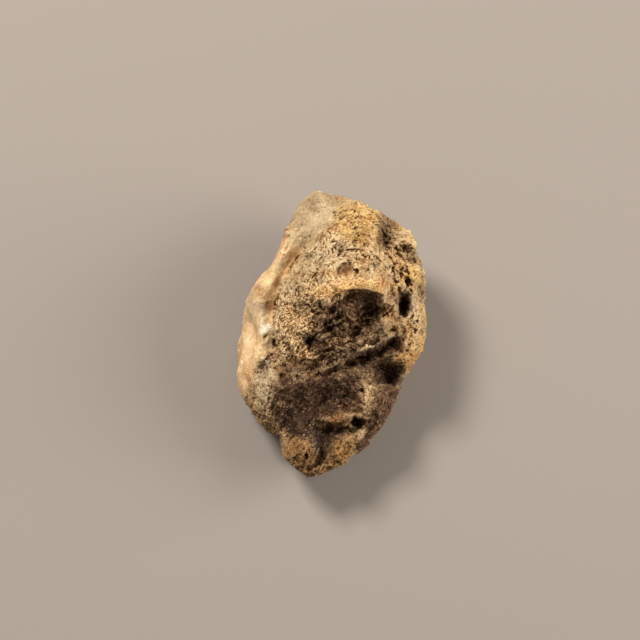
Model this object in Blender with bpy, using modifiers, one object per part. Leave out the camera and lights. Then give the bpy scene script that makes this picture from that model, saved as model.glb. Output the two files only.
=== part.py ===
"""Chondrite meteorite fragment: one weathered, pitted stone, lying on its flat broken back.

The stone is shaped in its own face frame, in millimetres: X across the show face, Y up it and Z out of it.
Chipped lumps are fused into one skin, and the skin is trimmed to the stone's outline. Chips, hollows, creases
and pits are then worked into it. Last, it is leant back, thinned and cut flat where it rests.
"""

import math
from collections import namedtuple

import bmesh
import bpy
import numpy as np
from mathutils import Matrix, Vector, noise

# Driving dimensions, in millimetres and degrees.
MM = 0.001
FACE_TILT = 12.0  # the show face leans this far from level, its upper end raised
REST_DEPTH = 8.8  # from the face frame's origin down to the flat rest face
CENTRE_SHIFT = (0.04, -0.29)  # brings the middle of the stone's box over the origin
FUSE_VOXEL = 0.40
SKIN_VOXEL = 0.34
EASE = 0.3  # how far each point is drawn to its neighbours after a fuse
TRIANGLES = 10200  # in the whole skin, before the rest face is cut
SEED = 7

# The stone's outline, seen square to the show face.
OUTLINE = (
    (-1.5, 16.7), (0.8, 16.0), (5.1, 14.1), (9.2, 11.7), (10.4, 8.5), (10.8, 4.0), (10.7, -1.2),
    (9.5, -4.2), (8.5, -5.6), (7.5, -8.0), (4.9, -12.2), (2.4, -15.0), (0.3, -16.2), (-2.6, -16.9),
    (-4.4, -15.6), (-6.0, -14.1), (-6.0, -12.5), (-9.5, -9.0), (-10.6, -7.6), (-11.1, -4.4),
    (-10.4, 0.6), (-9.0, 5.7), (-6.8, 8.0), (-5.5, 10.8), (-4.4, 14.2), (-3.2, 15.9),
)

# box 2 is an ellipsoid and more is squarer. Each flat is its outward direction and its distance from the centre.
BACKWARD = (0, -math.sin(math.radians(FACE_TILT)), -math.cos(math.radians(FACE_TILT)))
Lump = namedtuple("Lump", "name centre radii turn box flats")
LUMPS = (
    Lump("core", (0.3, -0.3, -2.8), (9.4, 13.6, 8.4), 6, 2.8,
         ((BACKWARD, 6.6), ((0, 0, 1), 5.6), ((0, -0.45, 0.9), 6.4))),
    Lump("front_block", (0.6, 2.5, 2.2), (7.2, 6.5, 6.8), 12, 2.6,
         (((0.05, 0.5, 0.87), 6.2), ((0.04, -0.46, 0.885), 4.85), ((-0.88, 0.14, 0.44), 5.8), ((0.95, 0.1, 0.3), 6.6))),
    Lump("upper_slope", (1.6, 7.4, 0.2), (5.8, 6.2, 5.8), -4, 2.2, (((-0.1, 0.45, 0.89), 4.9),)),
    Lump("top_lump", (2.6, 11.2, -1.6), (3.1, 4.2, 4.2), 0, 2.4, ()),
    Lump("top_hump", (-0.9, 11.6, -4.2), (4.5, 5.0, 4.8), 0, 2.2, ()),
    Lump("left_mass", (-5.4, -0.2, -4.6), (5.2, 11.0, 5.8), -20, 2.3, (((-0.5, 0.3, 0.8), 4.8),)),
    Lump("right_band", (8.3, 4.6, -1.4), (2.8, 8.6, 4.8), 4, 2.4, ()),
    Lump("right_knob", (9.0, -2.2, 0.0), (2.2, 2.2, 2.8), 0, 2.3, ()),
    Lump("lower_block", (-1.9, -6.3, -0.4), (6.6, 7.4, 6.0), 4, 2.9,
         (((0.02, -0.5, 0.87), 3.4), ((-0.72, 0.2, 0.66), 5.2))),
    Lump("lower_flank", (4.2, -6.6, -1.8), (4.4, 6.4, 5.0), -22, 2.4, (((0.6, -0.1, 0.8), 4.2),)),
    Lump("toe", (-1.7, -13.0, -1.4), (4.5, 4.2, 4.2), 20, 2.4, ()),
    Lump("left_ridge", (-7.2, -4.6, -0.4), (2.6, 4.8, 3.2), -8, 2.4, ()),
    Lump("left_rim", (-7.4, -9.6, -2.8), (2.2, 5.4, 3.4), 36, 2.3, ()),
)

# Hollows sunk into the show face. edge 1 is a soft dish and more has a steeper wall. lean 1 is deepest along the
# upper edge and runs out at the lower one.
Hollow = namedtuple("Hollow", "name centre radii turn depth edge lean")
HOLLOWS = (
    Hollow("brow_alcove", (3.0, 1.3), (4.2, 3.1), 6, 1.9, 4.0, 0.1),
    Hollow("alcove_pocket", (4.0, 2.0), (2.0, 1.5), 10, 1.2, 3.0, -0.3),
    Hollow("under_brow_left", (0.2, 0.6), (1.9, 1.5), 30, 0.6, 2.0, 0.5),
    Hollow("left_face_pit", (-2.4, -1.2), (0.8, 0.8), 0, 0.9, 2.0, 0),
    Hollow("deep_slot", (8.3, 3.1), (0.8, 1.3), 4, 2.6, 2.5, 0),
    Hollow("edge_slot", (10.2, 4.6), (0.7, 1.3), 4, 0.9, 2.0, 0),
    Hollow("shoulder_recess", (6.4, 11.9), (1.1, 2.4), -10, 1.9, 1.5, 0),
    Hollow("band_slot", (9.0, 9.0), (1.8, 0.7), -38, 1.0, 1.5, 0),
    Hollow("side_cavity", (6.2, -4.8), (2.0, 1.9), 20, 2.2, 2.0, 0.5),
    Hollow("round_hole", (3.1, -10.4), (0.9, 0.9), 0, 1.7, 2.5, 0),
    Hollow("toe_recess", (-0.6, -12.0), (2.4, 1.5), 0, 1.2, 1.5, 0.5),
    Hollow("toe_notch", (-0.4, -14.4), (0.8, 2.0), 10, 0.6, 1.0, 0),
    Hollow("crown_dimple", (1.7, 6.9), (1.1, 0.9), 0, 0.55, 2.0, 0),
    Hollow("ridge_pit", (-7.9, -4.1), (0.9, 1.0), 0, 0.9, 2.0, 0),
)

# Lines worked into the show face, raised or, where rise is negative, sunk.
Crease = namedtuple("Crease", "name points width rise")
CREASES = (
    Crease("block_crevice", ((2.0, -3.4), (3.4, -3.0), (5.0, -2.0), (7.0, -0.8)), 0.8, -2.2),
    Crease("block_foot", ((-5.4, -5.2), (-3.4, -5.0), (-1.2, -4.3), (1.0, -3.8), (2.6, -3.4)), 0.9, -0.9),
    Crease("left_groove", ((-4.6, 9.0), (-6.0, 5.4), (-6.8, 2.6), (-6.6, -0.6), (-6.2, -3.0)), 1.0, -0.7),
    Crease("block_shelf", ((1.6, -1.6), (3.4, -1.6), (5.0, -0.6), (6.3, 1.0)), 0.6, 0.5),
    Crease("toe_crevice", ((-1.6, -10.7), (0.8, -10.9), (2.2, -11.0)), 0.7, -1.3),
    Crease("toe_ledge", ((-1.6, -9.8), (0.4, -9.9), (1.9, -9.4)), 0.6, 0.5),
    Crease("lower_right_ridge", ((2.6, -4.6), (3.4, -6.2), (3.9, -7.8)), 0.8, 0.6),
)

# Broken facets and pits all round. The show face has its own forms, so they are finer there.
Scatter = namedtuple("Scatter", "count radius depth")
CHIPS = Scatter(64, (2.0, 4.4), (0.2, 0.6))
FACE_CHIPS = Scatter(70, (1.0, 2.2), (0.12, 0.3))
FLAKES = Scatter(110, (0.9, 1.8), (0.1, 0.32))
PITS = Scatter(52, (0.7, 1.2), (0.25, 0.5))
FACE_PITS = Scatter(60, (0.55, 0.95), (0.2, 0.5))
CHIP_TILT = 0.22

Unevenness = namedtuple("Unevenness", "wavelength height")
SWELLS = Unevenness(3.6, 0.36)
KNOBS = Unevenness(1.3, 0.2)


def cut_reach(direction, reach, flats):
    """How far a lump reaches along a direction once its flats are cut."""
    for normal, kept in flats:
        facing = direction.dot(normal)
        if facing > 0.001:
            reach = min(reach, kept / facing)
    return reach


def add_lump(shape, lump):
    """Adds one chipped boulder to the shape as a closed body of its own."""
    ball = bmesh.ops.create_icosphere(shape, subdivisions=4, radius=1.0)
    turn = Matrix.Rotation(math.radians(lump.turn), 3, "Z")
    flats = [(Vector(normal).normalized(), kept) for normal, kept in lump.flats]
    for vertex in ball["verts"]:
        way = vertex.co.normalized()
        squareness = sum(abs(part) ** lump.box for part in way) ** (1 / lump.box)
        point = turn @ Vector([part / squareness * radius for part, radius in zip(way, lump.radii)])
        way = point.normalized()
        vertex.co = Vector(lump.centre) + way * cut_reach(way, point.length, flats)


def lump_mesh():
    """All lumps in one mesh, still overlapping."""
    shape = bmesh.new()
    for lump in LUMPS:
        add_lump(shape, lump)
    mesh = bpy.data.meshes.new("lumps")
    shape.to_mesh(mesh)
    shape.free()
    return mesh


def fused(mesh, voxel):
    """The outer skin of a mesh, as one closed mesh of even faces."""
    body = bpy.data.objects.new("body", mesh)
    bpy.context.scene.collection.objects.link(body)
    fuse = body.modifiers.new("fuse", "REMESH")
    fuse.mode = "VOXEL"
    fuse.voxel_size = voxel
    ease = body.modifiers.new("ease", "SMOOTH")
    ease.factor = EASE
    ease.iterations = 2
    bpy.context.view_layer.update()
    graph = bpy.context.evaluated_depsgraph_get()
    skin = bpy.data.meshes.new_from_object(body.evaluated_get(graph), depsgraph=graph)
    bpy.data.objects.remove(body)
    bpy.data.meshes.remove(mesh)
    return skin


def read_points(mesh):
    points = np.empty(len(mesh.vertices) * 3)
    mesh.vertices.foreach_get("co", points)
    return points.reshape(-1, 3)


def read_normals(mesh):
    normals = np.empty(len(mesh.vertices) * 3)
    mesh.vertex_normals.foreach_get("vector", normals)
    return normals.reshape(-1, 3)


def write_points(mesh, points):
    mesh.vertices.foreach_set("co", points.ravel())
    mesh.update()


def face_share(points, normals):
    """1 on the show face, falling to 0 round its sides and behind."""
    outward = np.clip(normals[:, 2] * 3, 0, 1)
    forward = np.clip((points[:, 2] + 5) / 2, 0, 1)
    return outward * forward


def trim_to_outline(mesh):
    """Stretches the skin across the face, most at its rim, until its outline is OUTLINE."""
    points = read_points(mesh)
    corners = np.array(OUTLINE)
    corner_angle = np.arctan2(corners[:, 1], corners[:, 0])
    order = np.argsort(corner_angle)
    corner_reach = np.hypot(corners[:, 0], corners[:, 1])
    angle = np.arctan2(points[:, 1], points[:, 0])
    reach = np.hypot(points[:, 0], points[:, 1])
    wanted = np.interp(angle, corner_angle[order], corner_reach[order], period=2 * np.pi)
    sectors = 120
    sector = ((angle + np.pi) / (2 * np.pi) * sectors).astype(int) % sectors
    rim = np.zeros(sectors)
    np.maximum.at(rim, sector, reach)
    sector_angle = (np.arange(sectors) + 0.5) / sectors * 2 * np.pi - np.pi
    rim = np.interp(angle, sector_angle, rim, period=2 * np.pi)
    points[:, :2] *= (1 + (wanted / rim - 1) * (reach / rim).clip(0, 1) ** 3)[:, None]
    write_points(mesh, points)


def roughen(mesh, unevenness):
    """Rises and dips over the whole stone."""
    points, normals = read_points(mesh), read_normals(mesh)
    rise = [noise.fractal(Vector(point) / unevenness.wavelength, 1.0, 2.0, 3) for point in points]
    points += normals * (np.array(rise) * unevenness.height)[:, None]
    write_points(mesh, points)


def scattered_spots(points, normals, scatter, rng, on_face):
    """Seeded spots on the show face, or else round the sides and off the back: skin point, radius and depth."""
    share = face_share(points, normals)
    back = normals @ BACKWARD > 0.7
    allowed = np.flatnonzero(share > 0.6) if on_face else np.flatnonzero((share < 0.25) & ~back)
    for index in rng.choice(allowed, scatter.count):
        yield index, rng.uniform(*scatter.radius), rng.uniform(*scatter.depth)


def chip(mesh, scatter, rng, on_face):
    """Planes broken flat, each tilted a little against the skin under it."""
    points, normals = read_points(mesh), read_normals(mesh)
    for index, radius, depth in scattered_spots(points, normals, scatter, rng, on_face):
        normal = normals[index] + rng.normal(0, CHIP_TILT, 3)
        normal /= np.linalg.norm(normal)
        away = points - points[index]
        distance = np.linalg.norm(away, axis=1)
        proud = away @ normal + depth
        inside = np.clip((1 - distance / radius) * 4, 0, 1) * (normals @ normal > 0.2)
        points -= normal * (np.clip(proud, 0, depth * 2) * inside)[:, None]
    write_points(mesh, points)


def pit(mesh, scatter, rng, on_face):
    """Round pits with a steep wall."""
    points, normals = read_points(mesh), read_normals(mesh)
    for index, radius, depth in scattered_spots(points, normals, scatter, rng, on_face):
        distance = np.linalg.norm(points - points[index], axis=1) / radius
        sink = np.clip(1 - distance**3, 0, 1) * (normals @ normals[index] > 0.2)
        points -= normals[index] * (sink * depth)[:, None]
    write_points(mesh, points)


def press_hollows(mesh):
    points, normals = read_points(mesh), read_normals(mesh)
    share = face_share(points, normals)
    for hollow in HOLLOWS:
        turn = math.radians(hollow.turn)
        away = points[:, :2] - hollow.centre
        along = away @ (math.cos(turn), math.sin(turn)) / hollow.radii[0]
        across = away @ (-math.sin(turn), math.cos(turn)) / hollow.radii[1]
        middle = np.clip(1 - along**2 - across**2, 0, 1)
        sink = (1 - (1 - middle) ** hollow.edge) * (1 + hollow.lean * np.clip(across, -1, 1)) / (1 + hollow.lean)
        points[:, 2] -= hollow.depth * sink * share
    write_points(mesh, points)


def distance_to_line(points, line):
    nearest = np.full(len(points), np.inf)
    for start, end in zip(line, line[1:]):
        start = np.array(start)
        way = np.array(end) - start
        along = np.clip((points[:, :2] - start) @ way / (way @ way), 0, 1)
        gap = points[:, :2] - start - along[:, None] * way
        nearest = np.minimum(nearest, np.hypot(gap[:, 0], gap[:, 1]))
    return nearest


def work_creases(mesh):
    points, normals = read_points(mesh), read_normals(mesh)
    share = face_share(points, normals)
    for crease in CREASES:
        middle = np.clip(1 - (distance_to_line(points, crease.points) / crease.width) ** 2, 0, 1)
        points[:, 2] += crease.rise * middle * share
    write_points(mesh, points)


def stone_skin():
    """The stone's whole skin in its face frame, before it is cut flat below."""
    rng = np.random.default_rng(SEED)
    skin = fused(lump_mesh(), FUSE_VOXEL)
    chip(skin, CHIPS, rng, on_face=False)
    chip(skin, FACE_CHIPS, rng, on_face=True)
    skin = fused(skin, SKIN_VOXEL)
    trim_to_outline(skin)
    roughen(skin, SWELLS)
    skin = fused(skin, SKIN_VOXEL)
    trim_to_outline(skin)
    press_hollows(skin)
    work_creases(skin)
    skin = fused(skin, SKIN_VOXEL)
    chip(skin, FLAKES, rng, on_face=True)
    roughen(skin, KNOBS)
    pit(skin, PITS, rng, on_face=False)
    pit(skin, FACE_PITS, rng, on_face=True)
    return fused(skin, SKIN_VOXEL)


def stone_material():
    material = bpy.data.materials.new("weathered_chondrite")
    material.use_nodes = True
    shader = material.node_tree.nodes["Principled BSDF"]
    shader.inputs["Base Color"].default_value = (0.36, 0.25, 0.15, 1)
    shader.inputs["Roughness"].default_value = 0.85
    shader.inputs["Metallic"].default_value = 0.0
    return material


def new_collection(name):
    collection = bpy.data.collections.new(name)
    bpy.context.scene.collection.children.link(collection)
    return collection


def rest_cutter(collection):
    """A block whose top is the level rest plane."""
    side = 0.1
    bpy.ops.mesh.primitive_cube_add(size=side, location=(0, 0, -side / 2))
    cutter = bpy.context.object
    cutter.name = "rest_cutter"
    for owner in list(cutter.users_collection):
        owner.objects.unlink(cutter)
    collection.objects.link(cutter)
    cutter.hide_render = True
    cutter.display_type = "WIRE"
    return cutter


def add_stone(collection, cutter):
    """Leans the skin back to its rest tilt, thins it and cuts it flat where it rests."""
    skin = stone_skin()
    tilt = Matrix.Rotation(math.radians(FACE_TILT), 4, "X")
    place = Matrix.Translation((*CENTRE_SHIFT, REST_DEPTH))
    skin.transform(Matrix.Scale(MM, 4) @ place @ tilt)
    skin.materials.append(stone_material())
    stone = bpy.data.objects.new("meteorite_fragment", skin)
    collection.objects.link(stone)
    faces = sum(len(polygon.vertices) - 2 for polygon in skin.polygons)
    thin = stone.modifiers.new("thin", "DECIMATE")
    thin.ratio = TRIANGLES / faces
    flat = stone.modifiers.new("rest_face", "BOOLEAN")
    flat.operation = "DIFFERENCE"
    flat.solver = "EXACT"
    flat.object = cutter
    return stone


def main():
    for obj in list(bpy.data.objects):
        bpy.data.objects.remove(obj)
    cutter = rest_cutter(new_collection("cutters"))
    add_stone(new_collection("chondrite_meteorite_fragment"), cutter)


main()
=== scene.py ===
"""Looks of the chondrite meteorite fragment: its weathered skin and finish, on a plain stage."""

import math
from collections import namedtuple

import bmesh
import bpy
import numpy as np
from bpy.props import FloatProperty, FloatVectorProperty, IntProperty, PointerProperty
from bpy.types import Operator, Panel, PropertyGroup
from mathutils import Matrix, Vector, noise


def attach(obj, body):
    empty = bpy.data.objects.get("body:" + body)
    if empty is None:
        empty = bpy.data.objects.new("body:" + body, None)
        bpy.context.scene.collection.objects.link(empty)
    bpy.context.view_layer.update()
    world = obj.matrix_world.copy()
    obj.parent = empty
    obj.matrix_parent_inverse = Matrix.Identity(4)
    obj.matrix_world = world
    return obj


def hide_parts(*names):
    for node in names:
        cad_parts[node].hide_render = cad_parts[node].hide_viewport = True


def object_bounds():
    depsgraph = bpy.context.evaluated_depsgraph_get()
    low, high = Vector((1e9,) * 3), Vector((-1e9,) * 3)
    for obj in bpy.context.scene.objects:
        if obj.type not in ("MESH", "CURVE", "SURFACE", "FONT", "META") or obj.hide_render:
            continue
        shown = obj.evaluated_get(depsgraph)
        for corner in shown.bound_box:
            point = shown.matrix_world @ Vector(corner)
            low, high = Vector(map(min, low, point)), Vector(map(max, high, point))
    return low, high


bl_info = {
    "name": "Chondrite Meteorite Fragment",
    "version": (1, 0, 0),
    "blender": (4, 5, 0),
    "location": "View3D > Sidebar > Meteorite",
    "description": "Builds the weathered skin of a chondrite meteorite fragment, and a stage for it",
    "category": "Object",
}

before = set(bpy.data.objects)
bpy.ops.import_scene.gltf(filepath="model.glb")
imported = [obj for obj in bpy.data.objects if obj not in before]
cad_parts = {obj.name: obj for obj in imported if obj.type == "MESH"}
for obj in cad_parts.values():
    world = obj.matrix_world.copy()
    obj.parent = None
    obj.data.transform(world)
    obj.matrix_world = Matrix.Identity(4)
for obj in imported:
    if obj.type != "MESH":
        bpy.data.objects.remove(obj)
CAD_LOW, CAD_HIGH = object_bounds()

# The stone's own face frame, in millimetres: X across the show face, Y up it and Z out of it. It leans
# back by FACE_TILT, and its origin stands REST_DEPTH above the rest face.
MM = 0.001
FACE_TILT = 12.0
REST_DEPTH = 8.8
CENTRE_SHIFT = (0.04, -0.29)
FACE_TO_WORLD = (
    Matrix.Scale(MM, 4)
    @ Matrix.Translation((*CENTRE_SHIFT, REST_DEPTH))
    @ Matrix.Rotation(math.radians(FACE_TILT), 4, "X")
)
WORLD_TO_FACE = FACE_TO_WORLD.inverted()

# Sight line: square to the face, from this far off. The frame's middle looks at VIEW_CENTRE on the face.
PICTURE_SIDE = 640
PIXELS_PER_MM = 8.7
VIEW_DISTANCE = 260.0
VIEW_CENTRE = (-1.264, 1.379)
SENSOR = 36.0

# Stage, in metres. The lamps' directions are in the face frame.
LIGHT_COLOUR = (1.0, 0.95, 0.88)
SKY_COLOUR = (1.0, 0.96, 0.9)
KEY_DIRECTION = (-0.42, 0.61, 0.67)
KEY_SIDE = 0.11
FILL_DIRECTION = (0.90, 0.15, 0.40)
FILL_SIDE = 0.3
LAMP_DISTANCE = 0.4
FLOOR_SIDE = 1.2

# The skin's fineness while it is worked, in millimetres, and the most triangles that it may end with.
WORKING_VOXEL = 0.17
SKIN_VOXEL = 0.11
SKIN_TRIANGLES = 196000

# How strongly edges and creases are brought out, against a mean of this many rounds and within these
# limits in mm, and how strongly worn skin is rubbed smooth.
CRISP = 0.7
CRISP_ROUNDS = 30
CRISP_LIMITS = (-0.25, 0.5)
WEAR = 0.8


def arc(centre, radius, start, end, steps=8):
    """Points along an arc of the face, from one angle in degrees to another."""
    turns = (math.radians(start + (end - start) * step / steps) for step in range(steps + 1))
    across, up = centre
    return tuple((across + radius * math.cos(turn), up + radius * math.sin(turn)) for turn in turns)


# A step in the skin along a line: the side on its left stands out, the side on its right is cut back.
Step = namedtuple("Step", "name line rise drop reach")
STEPS = (
    Step(
        "brow",
        ((0.9, 4.3), (1.5, 4.5), (2.4, 4.7), (3.4, 4.75), (4.4, 4.65), (5.3, 4.3)),
        0.3, 0.3, 0.9,
    ),
    Step(
        "block_side",
        (
            (-3.2, 8.9), (-4.3, 7.4), (-5.2, 5.4), (-5.9, 3.7), (-6.2, 1.6), (-6.2, -0.3), (-5.9, -2.1),
            (-5.3, -3.4),
        ),
        1.5, 0.3, 1.5,
    ),
    Step(
        "block_foot",
        ((-1.0, -4.5), (0.6, -3.9), (2.2, -3.2), (3.6, -2.4), (5.2, -1.6), (6.8, -0.7)),
        0.2, 0.6, 0.7,
    ),
    Step(
        "toe_ledge",
        ((-1.1, -10.2), (0.0, -10.5), (0.9, -10.7), (1.7, -10.5), (2.2, -10.0)),
        0.2, 0.45, 0.6,
    ),
)

# Grooves and ridges along lines: height is negative for a groove.
Stroke = namedtuple("Stroke", "name line width height")
STROKES = (
    Stroke("block_ledge", ((1.6, -2.0), (3.1, -1.0), (4.5, -0.2), (5.6, 0.5), (6.7, 1.4)), 0.28, 0.45),
    Stroke("block_crevice", ((3.6, -3.1), (4.6, -2.6), (5.8, -2.0), (6.8, -1.5)), 0.50, -1.2),
    Stroke("under_ledge", ((4.6, -1.1), (5.9, -0.4), (7.0, 0.2)), 0.40, -0.8),
    Stroke("face_ridge", ((2.9, -3.9), (3.4, -5.3), (4.1, -6.9), (4.0, -8.7), (3.3, -9.4)), 0.4, 0.6),
    Stroke("band_groove", ((6.0, 11.1), (6.4, 9.6)), 0.40, -0.5),
    Stroke("band_groove_low", ((6.4, 9.4), (6.9, 7.7), (7.2, 6.0), (7.5, 4.6)), 0.35, -0.25),
    Stroke("slot_wall", ((7.15, 5.2), (7.3, 3.6), (7.25, 2.0)), 0.25, 0.45),
    Stroke("alcove_rib", ((5.7, 4.4), (6.5, 3.6), (6.8, 2.6), (6.7, 1.4), (5.9, 0.7)), 0.7, 1.0),
    Stroke("block_crease", ((-3.8, 9.0), (-4.9, 7.4), (-5.8, 5.4), (-6.4, 3.7), (-6.65, 1.8)), 0.4, -0.3),
    Stroke("left_fill", ((-5.6, 9.0), (-7.2, 5.4), (-8.0, 2.6), (-7.9, -0.4), (-7.6, -2.4)), 0.8, 0.35),
    Stroke("ridge_crest", ((-8.4, -2.4), (-7.4, -5.2), (-7.6, -8.2)), 0.8, 0.4),
    Stroke(
        "toe_crevice",
        ((-2.4, -11.0), (-1.3, -11.1), (0.1, -11.4), (1.2, -11.5), (2.4, -11.4)),
        0.5, -0.45,
    ),
    Stroke("hole_rim", arc((3.0, -10.3), 0.95, 40, 220), 0.16, 0.25),
    Stroke("toe_cleft", ((-0.6, -11.8), (-0.9, -13.4), (-1.3, -15.0)), 0.75, -1.1),
    Stroke(
        "toe_right_rim",
        ((0.9, -11.9), (2.2, -12.3), (2.5, -13.2), (2.0, -14.3), (1.0, -14.8)),
        0.2, 0.35,
    ),
    Stroke("toe_right_rib", ((0.8, -12.2), (0.6, -13.4), (0.9, -14.3)), 0.2, 0.35),
    Stroke("toe_left_rib", ((-4.3, -12.6), (-4.5, -13.9), (-3.9, -15.2)), 0.2, 0.35),
    Stroke("toe_left_inner_rib", ((-2.9, -12.9), (-2.6, -14.2), (-3.0, -15.4)), 0.2, 0.35),
    Stroke("toe_foot_rim", ((-3.6, -16.0), (-2.2, -15.9), (-0.6, -15.2), (0.6, -15.2)), 0.2, 0.35),
    Stroke("foot_fill", ((-5.8, -5.0), (-3.4, -5.0), (-1.2, -4.4)), 0.9, 0.75),
    Stroke("face_brow", ((-6.2, -6.0), (-3.0, -6.2), (0.5, -5.4)), 1.2, 0.4),
    Stroke("foot_edge", ((0.1, -3.5), (2.4, -2.9), (4.5, -1.8), (5.6, -1.0)), 0.22, 0.35),
    Stroke("under_streak_top", ((-0.8, 2.9), (0.8, 3.5), (2.4, 3.9)), 0.2, 0.4),
    Stroke("under_streak", ((-1.8, 1.2), (0.2, 2.2), (1.8, 2.9)), 0.22, 0.5),
    Stroke("under_streak_mid", ((-1.4, 0.3), (0.6, 1.2), (1.7, 1.9)), 0.2, 0.4),
    Stroke("under_streak_low", ((-1.6, -0.7), (0.4, 0.2), (1.7, 0.9)), 0.22, 0.5),
    Stroke("under_streak_foot", ((-1.4, -2.0), (0.6, -1.1), (2.2, -0.6)), 0.22, 0.5),
    Stroke("under_streak_last", ((-2.6, -3.0), (-0.6, -2.4), (1.4, -1.7), (3.0, -1.2)), 0.22, 0.5),
    Stroke("alcove_lip", ((2.4, 1.5), (3.6, 1.4), (4.8, 1.6), (6.2, 2.3)), 0.22, 0.5),
    Stroke("band_ridge", ((8.9, 7.4), (9.3, 5.4), (9.2, 3.4), (9.5, 1.4)), 0.24, 0.35),
    Stroke("band_outer_ridge", ((10.0, 3.2), (10.2, 1.2), (9.9, -0.8)), 0.24, 0.3),
    Stroke("band_low_ridge", ((8.1, 1.4), (8.6, -0.4), (8.4, -1.8)), 0.24, 0.3),
    Stroke("band_shelf_top", ((6.9, 10.4), (7.8, 9.6), (8.6, 8.7)), 0.22, 0.4),
    Stroke("band_shelf", ((6.5, 8.0), (7.6, 7.2), (8.6, 6.4), (10.4, 5.6)), 0.22, 0.4),
)

STROKES += tuple(
    Stroke("crown_arc", arc((2.7, 5.7), radius, -15, 130), 0.18, 0.14)
    for radius in (1.7, 2.25, 2.8, 3.4, 4.0)
)

# Hollows pressed into the face: centre, radii, turn in degrees, depth.
Hollow = namedtuple("Hollow", "name centre radii turn depth")
HOLLOWS = (
    Hollow("alcove", (4.2, 2.8), (1.5, 1.1), 14, 0.65),
    Hollow("alcove_fill", (1.2, 2.6), (2.3, 1.4), 14, -0.75),
    Hollow("streak_fill", (-0.6, 1.0), (1.0, 0.7), 20, -0.35),
    Hollow("lower_alcove", (2.8, 0.2), (0.9, 0.7), 20, 0.8),
    Hollow("slot", (8.3, 3.1), (0.6, 1.0), 4, 0.8),
    Hollow("side_hollow", (6.7, -5.0), (1.5, 1.3), 20, 1.5),
    Hollow("crown_dimple", (1.85, 6.8), (1.0, 0.85), 10, 0.55),
    Hollow("small_dimple", (0.5, 4.8), (0.5, 0.5), 0, 0.25),
    Hollow("crown_pit", (0.9, 9.5), (0.45, 0.3), 50, 0.35),
    Hollow("right_crown_pit", (5.1, 7.5), (0.6, 0.5), 30, 0.4),
    Hollow("face_pit", (-2.3, -1.0), (0.4, 0.4), 0, 0.5),
    Hollow("band_pit", (8.6, 9.3), (0.6, 0.5), -38, 0.35),
    Hollow("band_low_pit", (9.7, 8.2), (0.55, 0.5), -38, 0.4),
    Hollow("edge_pit", (10.3, 4.5), (0.5, 1.0), 0, 0.9),
    Hollow("small_band_pit", (8.8, 5.6), (0.35, 0.3), 0, 0.4),
    Hollow("round_hole", (3.0, -10.3), (0.65, 0.65), 0, 1.4),
    Hollow("toe_top", (-1.1, -12.1), (1.7, 0.9), 0, 0.55),
    Hollow("toe_left_lobe", (-3.6, -13.8), (1.4, 1.6), 0, -0.8),
    Hollow("toe_right_lobe", (1.4, -13.2), (1.1, 1.6), -10, -0.8),
    Hollow("ridge_pit", (-7.9, -4.1), (0.5, 0.7), 0, 0.2),
)

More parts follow.
